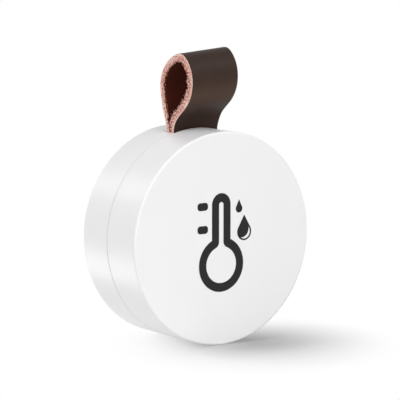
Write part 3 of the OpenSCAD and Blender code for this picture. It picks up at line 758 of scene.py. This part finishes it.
@dataclass
class BoardCopper:
    """Tracks, pads and solder on the rear side of the circuit board, which shows when the cover is off.

    The rows of tracks and pads are in millimetres and degrees, and the joints' sizes across in millimetres. The
    other lengths are in metres, the turn of the switch's feet in radians, and reach and heights are shares.
    """

    plane: float
    height: float
    copper: float = 0.04 * MM
    tracks: tuple[tuple[float, float, float, float], ...] = (  # radius, start, end, width
        (16.9, 112, 430, 0.5), (16.1, 36, 70, 0.25), (15.55, 38, 68, 0.25), (15.0, 40, 66, 0.25),
        (16.1, 112, 146, 0.25), (15.55, 114, 142, 0.25), (15.2, 190, 206, 0.8), (15.2, 334, 350, 0.4),
    )
    pads: tuple[tuple[float, float, float], ...] = (  # radius, angle, size across
        (14.6, 106, 1.2), (14.6, 113, 1.2), (14.6, 120, 1.2), (14.6, 127, 1.2), (15.3, 10, 1.0),
        (15.3, 3, 1.0), (15.3, -4, 1.0), (16.1, 70, 0.55), (15.55, 68, 0.55), (15.0, 66, 0.55),
        (16.1, 146, 0.55), (15.55, 142, 0.55),
    )
    pad_proud: float = 1.5 * copper
    pad_round: float = 0.6 * copper
    foot_turn: float = 0.5
    foot_reach: float = 0.86
    foot_joint: float = 0.55
    clip_joint: float = 0.75
    clip_heights: tuple[float, ...] = (0.18, 0.5, 0.82)
    clip_inset: float = 0.2 * MM
    joint_height: float = 0.55

    def spot(self, radius: float, angle: float) -> Vector:
        """Gives a point of the board's rear side, in millimetres and degrees round the board's middle."""
        a = math.radians(angle)
        return Vector((radius * math.cos(a) * MM, self.plane, self.height + radius * math.sin(a) * MM))

    def build_tracks(self) -> bpy.types.Object:
        """Spins each track round the board's middle and gives it the copper's thickness.

        Returns:
            The tracks as one piece.
        """
        mesh = bmesh.new()
        for radius, start, end, width in self.tracks:
            ends = [mesh.verts.new(self.spot(radius + side * width / 2, start)) for side in (-1, 1)]
            bmesh.ops.spin(mesh, geom=ends + [mesh.edges.new(ends)], cent=(0, self.plane, self.height),
                           axis=(0, -1, 0), angle=math.radians(end - start), steps=round((end - start) / 2))
        bmesh.ops.remove_doubles(mesh, verts=mesh.verts[:], dist=0.001 * MM)
        raised = bmesh.ops.extrude_face_region(mesh, geom=mesh.faces[:])
        bmesh.ops.translate(mesh, vec=(0, self.copper, 0),
                            verts=[g for g in raised["geom"] if isinstance(g, bmesh.types.BMVert)])
        bmesh.ops.recalc_face_normals(mesh, faces=mesh.faces[:])
        return as_object(mesh, "board_tracks")

    def build_pads(self) -> bpy.types.Object:
        """Builds the gold pads and vias as low discs with a rounded edge.

        Returns:
            The pads as one piece.
        """
        mesh = bmesh.new()
        upright = Matrix.Rotation(math.radians(-90), 4, "X")
        for radius, angle, across in self.pads:
            disc = bmesh.ops.create_circle(mesh, cap_ends=True, segments=24, radius=across * MM / 2,
                                           matrix=Matrix.Translation(self.spot(radius, angle)) @ upright)
            face = disc["verts"][0].link_faces[0]
            top = bmesh.ops.extrude_face_region(mesh, geom=[face])["geom"]
            bmesh.ops.translate(mesh, vec=(0, self.pad_proud, 0),
                                verts=[g for g in top if isinstance(g, bmesh.types.BMVert)])
            bmesh.ops.bevel(mesh, geom=[g for g in top if isinstance(g, bmesh.types.BMEdge)],
                            offset=self.pad_round, affect="EDGES", segments=2, profile=0.5, material=-1)
        bmesh.ops.recalc_face_normals(mesh, faces=mesh.faces[:])
        return as_object(mesh, "board_pads")

    def build_solder(self) -> bpy.types.Object:
        """Builds the low domes of solder at the feet of the switch and of the positive contact.

        Returns:
            The solder joints as one piece.
        """
        mesh = bmesh.new()
        upright = Matrix.Rotation(math.radians(-90), 4, "X")
        switch_low, switch_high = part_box("pairing_switch")
        clip_low, clip_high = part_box("positive_contact")
        middle, reach = (switch_low + switch_high) / 2, (switch_high.x - switch_low.x) / 2
        turn = math.atan2(middle.z - self.height, middle.x)
        corners = [side + foot for side in (0.0, math.pi) for foot in (self.foot_turn, -self.foot_turn)]
        places = [(middle + Vector((math.cos(turn + a), 0, math.sin(turn + a))) * reach * self.foot_reach,
                   self.foot_joint) for a in corners]
        places += [(Vector((clip_low.x + self.clip_inset, 0, z * clip_high.z + (1 - z) * clip_low.z)),
                    self.clip_joint) for z in self.clip_heights]
        for place, across in places:
            place.y = self.plane
            low = Matrix.Translation(place) @ upright @ Matrix.Diagonal((1, 1, self.joint_height, 1))
            bmesh.ops.create_uvsphere(mesh, u_segments=16, v_segments=10, radius=across * MM / 2, matrix=low)
        bmesh.ops.bisect_plane(mesh, geom=mesh.verts[:] + mesh.edges[:] + mesh.faces[:],
                               plane_co=(0, self.plane, 0), plane_no=(0, 1, 0), clear_inner=True)
        return as_object(mesh, "solder_joints")

    def build(self) -> list[bpy.types.Object]:
        """Builds and dresses the copper and the solder.

        Returns:
            The finished pieces.
        """
        rows = ((self.build_tracks(), Finishes.TRACK, "board_laminate"),
                (self.build_pads(), Finishes.GOLD, "contact_plate"),
                (self.build_solder(), Finishes.SOLDER, "solder_tin"))
        for piece, finish, slot in rows:
            piece.data.materials.append(finish.material())
            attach(piece, "case")
        return [row[0] for row in rows]


@dataclass
class CellMark:
    """The plus sign stamped in the rear of the coin cell."""

    centre: Vector
    across: float = 3.6 * MM
    bar: float = 0.7 * MM
    proud: float = 0.06 * MM

    def build(self) -> list[bpy.types.Object]:
        """Cuts a plus from a three by three grid, raises it and rounds its edges.

        Returns:
            The mark.
        """
        mesh = bmesh.new()
        bmesh.ops.create_grid(mesh, x_segments=3, y_segments=3, size=0.5)
        inner, outer = 1 / 6, 1 / 2  # places of the grid's lines
        corners = [f for f in mesh.faces if all(abs(c) > inner for c in f.calc_center_median()[:2])]
        bmesh.ops.delete(mesh, geom=corners, context="FACES")
        for vert in mesh.verts:
            flat = [math.copysign((self.across if abs(c) > (inner + outer) / 2 else self.bar) / 2, c)
                    for c in vert.co[:2]]
            vert.co = self.centre + Vector((flat[0], 0, flat[1]))
        top = bmesh.ops.extrude_face_region(mesh, geom=mesh.faces[:])["geom"]
        bmesh.ops.translate(mesh, vec=(0, self.proud, 0),
                            verts=[g for g in top if isinstance(g, bmesh.types.BMVert)])
        bmesh.ops.recalc_face_normals(mesh, faces=mesh.faces[:])
        rim = [e for e in mesh.edges if e.is_manifold and e.calc_face_angle() > math.radians(57)
               and all(v.co.y > self.centre.y + self.proud / 2 for v in e.verts)]
        bmesh.ops.bevel(mesh, geom=rim, offset=self.proud * 0.6, affect="EDGES", segments=3, profile=0.5,
                        material=-1)
        mark = as_object(mesh, "cell_plus_mark")
        mark.data.materials.append(Finishes.CELL.material())
        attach(mark, "case")
        return [mark]


class Lit(Enum):
    """What a lamp is flagged to light, as the state of the table among its receivers."""

    OBJECT = "EXCLUDE"
    TABLE = "INCLUDE"


@dataclass(frozen=True)
class Softbox:
    """A square lamp behind a diffuser, aimed at the middle of the body."""

    name: str
    azimuth: float
    elevation: float
    size: float
    radiance: float
    lit: Lit = Lit.OBJECT
    distance: float = 0.9

    def build(self, target: Vector, table: bpy.types.Object) -> bpy.types.Object:
        """Hangs the lamp and flags it.

        Args:
            target: point that it faces.
            table: the table top, which the lamp either lights alone or leaves out.

        Returns:
            The lamp.
        """
        data = bpy.data.lights.new(self.name, "AREA")
        data.shape = "RECTANGLE"
        data.size = data.size_y = self.size
        data.energy = self.radiance * math.pi * self.size * self.size
        lamp = bpy.data.objects.new(self.name, data)
        bpy.context.scene.collection.objects.link(lamp)
        a, e = math.radians(self.azimuth), math.radians(self.elevation)
        back = Vector((math.sin(a) * math.cos(e), -math.cos(a) * math.cos(e), math.sin(e)))
        lamp.location = target + back * self.distance
        lamp.rotation_mode = "QUATERNION"
        lamp.rotation_quaternion = (-back).to_track_quat("-Z", "Y")
        receivers = bpy.data.collections.new(f"receivers_of_{self.name}")
        receivers.objects.link(table)
        receivers.collection_objects[0].light_linking.link_state = self.lit.value
        lamp.light_linking.receiver_collection = receivers
        if self.elevation < 0:  # the table is translucent and lets a lamp under it through
            lamp.light_linking.blocker_collection = receivers
        return lamp


@dataclass
class Studio:
    """A pale table with soft light all round, and the camera of the portrait.

    The table fades to white between two distances from the middle of the shadow.
    """

    centre: Vector
    azimuth: float = -36.01
    elevation: float = 8.67
    distance: float = 410 * MM
    aim_right: float = 0.638 * MM
    aim_up: float = 6.274 * MM
    lens: float = 195.5
    sky: float = 0.35
    table_radius: float = 1.6
    table_tone: str = "E4E4E4"
    shadow_middle: tuple[float, float, float] = (5 * MM, -11 * MM, 0.0)
    fade: tuple[float, float] = (-5 * MM, 29 * MM)

    def white_seen(self, tree: bpy.types.NodeTree) -> bpy.types.NodeSocket:
        """Tells the rays that look at the background from those that light the object.

        Args:
            tree: node tree that asks.

        Returns:
            One for camera, glossy and transmission rays, else zero.
        """
        path = add_node(tree, "ShaderNodeLightPath")
        seen = add_node(tree, "ShaderNodeMath", {
            0: path.outputs["Is Camera Ray"], 1: path.outputs["Is Glossy Ray"]}, operation="MAXIMUM")
        seen = add_node(tree, "ShaderNodeMath", {
            0: seen.outputs[0], 1: path.outputs["Is Transmission Ray"]}, operation="MAXIMUM")
        return seen.outputs[0]

    def light(self, table: bpy.types.Object) -> None:
        """Sets the even light of the room and hangs the lamps.

        Args:
            table: the table top, which has lamps of its own for a clear shadow.
        """
        world = bpy.data.worlds.new("room")
        bpy.context.scene.world = world
        world.use_nodes = True
        tree = world.node_tree
        tree.nodes.clear()
        level = add_node(tree, "ShaderNodeMapRange", {
            "Value": self.white_seen(tree), "To Min": self.sky, "To Max": 1.0})
        room = add_node(tree, "ShaderNodeBackground", {
            "Color": (1.0, 1.0, 1.0, 1.0), "Strength": level.outputs["Result"]})
        add_node(tree, "ShaderNodeOutputWorld", {"Surface": room.outputs["Background"]})
        for lamp in (
            Softbox("key_softbox", -42, 10, 0.30, 5.1),
            Softbox("front_softbox", 0, 35, 0.35, 6.2),
            Softbox("left_softbox", -90, 45, 0.40, 3.5),
            Softbox("right_softbox", 50, 40, 0.45, 2.05),
            Softbox("rear_softbox", -150, 28, 0.25, 2.9),
            Softbox("under_softbox", -155, -22, 0.25, 3.4),
            Softbox("under_front_softbox", 10, -40, 0.35, 1.6),
            Softbox("table_lamp_side", -110, 25, 0.25, 11.9, Lit.TABLE),
            Softbox("table_lamp_rear", -140, 30, 0.25, 14.6, Lit.TABLE),
            Softbox("table_lamp_high", -125, 60, 0.25, 9.1, Lit.TABLE),
        ):
            lamp.build(self.centre, table)

    def floor(self) -> bpy.types.Object:
        """Lays the table, which keeps the shadow and fades into the white room.

        Returns:
            The table top.
        """
        mesh = bmesh.new()
        bmesh.ops.create_circle(mesh, cap_ends=True, segments=96, radius=self.table_radius)
        table = as_object(mesh, "table_top")
        paper = bpy.data.materials.new("paper_white_matt")
        paper.use_nodes = True
        tree = paper.node_tree
        tree.nodes.clear()
        matt = add_node(tree, "ShaderNodeBsdfDiffuse", {"Color": linear(self.table_tone)})
        white = add_node(tree, "ShaderNodeEmission", {"Strength": 1.0})
        place = add_node(tree, "ShaderNodeTexCoord").outputs["Object"]
        reach = add_node(tree, "ShaderNodeVectorMath", {
            0: place, 1: self.shadow_middle}, operation="DISTANCE")
        away = add_node(tree, "ShaderNodeMapRange", {
            "Value": reach.outputs["Value"], "From Min": self.fade[0], "From Max": self.fade[1]},
            interpolation_type="SMOOTHSTEP")
        share = add_node(tree, "ShaderNodeMath", {
            0: away.outputs["Result"], 1: self.white_seen(tree)}, operation="MULTIPLY")
        top = add_node(tree, "ShaderNodeMixShader", {
            0: share.outputs[0], 1: matt.outputs["BSDF"], 2: white.outputs["Emission"]})
        add_node(tree, "ShaderNodeOutputMaterial", {"Surface": top.outputs["Shader"]})
        table.data.materials.append(paper)
        return table

    def camera(self) -> bpy.types.Object:
        """Sets the camera at the portrait's angle.

        Returns:
            The camera.
        """
        data = bpy.data.cameras.new("portrait")
        data.lens = self.lens
        camera = bpy.data.objects.new("portrait", data)
        bpy.context.scene.collection.objects.link(camera)
        a, e = math.radians(self.azimuth), math.radians(self.elevation)
        back = Vector((math.sin(a) * math.cos(e), -math.cos(a) * math.cos(e), math.sin(e)))
        right = Vector((math.cos(a), math.sin(a), 0.0))
        aim = self.centre + right * self.aim_right + back.cross(right) * self.aim_up
        camera.location = self.centre + back * self.distance
        camera.rotation_mode = "QUATERNION"
        camera.rotation_quaternion = (aim - camera.location).to_track_quat("-Z", "Y")
        data.clip_start, data.clip_end = 0.01, 20.0
        bpy.context.scene.camera = camera
        return camera

    def build(self) -> None:
        """Sets up the whole studio."""
        self.camera()
        self.light(self.floor())
        bpy.context.scene.view_settings.view_transform = "Standard"


def dress_solids() -> None:
    """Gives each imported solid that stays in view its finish."""
    for name, finish in DRESS.items():
        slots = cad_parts[name].data.materials
        slots.clear()
        slots.append(finish.material())
        LOG.info("%s dressed as %s", name, finish.name)


def main() -> None:
    """Sets up the studio, dresses the solids, and builds the pieces in order, logging the faces of each."""
    logging.basicConfig(level=logging.INFO, format="%(name)s: %(message)s")
    case_low, case_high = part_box("front_case")
    cover_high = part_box("rear_cover")[1]
    loop_low, loop_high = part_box("strap_loop")
    tails_low, tails_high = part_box("strap_tails")
    studio = Studio(Vector((0, (case_low.y + cover_high.y) / 2, (case_low.z + case_high.z) / 2)))
    studio.build()
    dress_solids()
    cell_low, cell_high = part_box("coin_cell")
    strap = LeatherStrap((tails_low.y + tails_high.y) / 2, case_high.z, tails_low.z, loop_high.x - loop_low.x)
    copper = BoardCopper(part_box("circuit_board")[1].y, studio.centre.z)
    mark = CellMark(Vector((0, cell_high.y, (cell_low.z + cell_high.z) / 2)))
    for assembly in (strap, copper, mark):
        for piece in assembly.build():
            LOG.info("%s has %d faces", piece.name, len(piece.data.polygons))


if __name__ == "__main__":
    main()
